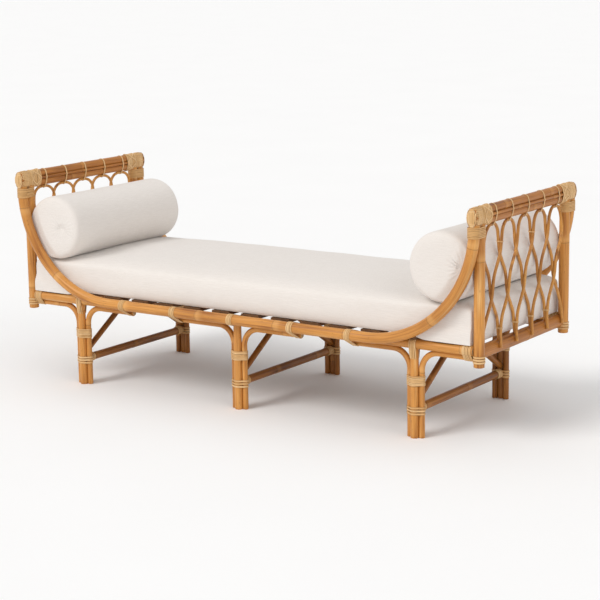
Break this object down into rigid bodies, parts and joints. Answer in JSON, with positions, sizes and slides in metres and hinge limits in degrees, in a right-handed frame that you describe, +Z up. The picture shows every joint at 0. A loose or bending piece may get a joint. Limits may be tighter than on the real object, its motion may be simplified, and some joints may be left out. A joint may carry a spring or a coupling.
{
  "type": "daybed",
  "caption": "Rattan daybed with curved side poles, hairpin lattice ends, braced legs, slatted seat, loose mattress and bolster cushions.",
  "frame": {"origin": "on the floor, at the middle of the footprint", "axes": "+X along the length towards the right end as seen from the front, +Y towards the rear side, +Z up"},
  "size_m": [1.8542, 0.6858, 0.7493],
  "materials": {
    "rattan_pole": "satin lacquered honey rattan pole",
    "rattan_peel": "pale split rattan peel, satin",
    "slat_wood": "plain sawn wood",
    "nail_steel": "plain wire nail",
    "cotton_cover": "plain-weave off-white cotton",
    "cushion_filling": "foam and fibre filling"
  },
  "bodies": {
    "frame": {"front_bow": "rattan_pole", "front_left_leg_bends": "rattan_pole", "front_left_leg_pole": "rattan_pole", "front_left_post": "rattan_pole", "front_middle_leg_bends": "rattan_pole", "front_middle_leg_pole": "rattan_pole", "front_right_leg_bends": "rattan_pole", "front_right_leg_pole": "rattan_pole", "front_right_post": "rattan_pole", "front_seat_rail": "rattan_pole", "lattice_ties": "rattan_peel", "left_braces": "rattan_pole", "left_cross_rail": "rattan_pole", "left_end_rail": "rattan_pole", "left_lattice_rod_1": "rattan_pole", "left_lattice_rod_2": "rattan_pole", "left_lattice_rod_3": "rattan_pole", "left_lattice_rod_4": "rattan_pole", "left_lattice_rod_5": "rattan_pole", "left_stretcher": "rattan_pole", "left_top_rail_lower": "rattan_pole", "left_top_rail_upper": "rattan_pole", "leg_bindings": "rattan_peel", "lower_corner_wraps": "rattan_peel", "middle_braces": "rattan_pole", "middle_cross_rail": "rattan_pole", "middle_stretcher": "rattan_pole", "rail_bindings": "rattan_peel", "rear_bow": "rattan_pole", "rear_left_leg_bends": "rattan_pole", "rear_left_leg_pole": "rattan_pole", "rear_left_post": "rattan_pole", "rear_middle_leg_bends": "rattan_pole", "rear_middle_leg_pole": "rattan_pole", "rear_right_leg_bends": "rattan_pole", "rear_right_leg_pole": "rattan_pole", "rear_right_post": "rattan_pole", "rear_seat_rail": "rattan_pole", "right_braces": "rattan_pole", "right_cross_rail": "rattan_pole", "right_end_rail": "rattan_pole", "right_lattice_rod_1": "rattan_pole", "right_lattice_rod_2": "rattan_pole", "right_lattice_rod_3": "rattan_pole", "right_lattice_rod_4": "rattan_pole", "right_lattice_rod_5": "rattan_pole", "right_stretcher": "rattan_pole", "right_top_rail_lower": "rattan_pole", "right_top_rail_upper": "rattan_pole", "seat_slats": "slat_wood", "slat_nails": "nail_steel", "stretcher_wraps": "rattan_peel", "top_corner_wraps": "rattan_peel", "top_rail_beads": "rattan_pole"},
    "mattress": {"mattress_cover": "cotton_cover", "mattress_foam": "cushion_filling"},
    "left_bolster": {"left_bolster_cover": "cotton_cover", "left_bolster_fill": "cushion_filling"},
    "right_bolster": {"right_bolster_cover": "cotton_cover", "right_bolster_fill": "cushion_filling"}
  },
  "joints": [
    {"name": "mattress_lift", "type": "slide", "parent": "frame", "child": "mattress", "axis": [0, 0, 1], "range_m": [0, 0.46]},
    {"name": "left_bolster_lift", "type": "slide", "parent": "mattress", "child": "left_bolster", "axis": [0, 0, 1], "range_m": [0, 0.32]},
    {"name": "right_bolster_lift", "type": "slide", "parent": "mattress", "child": "right_bolster", "axis": [0, 0, 1], "range_m": [0, 0.32]}
  ]
}
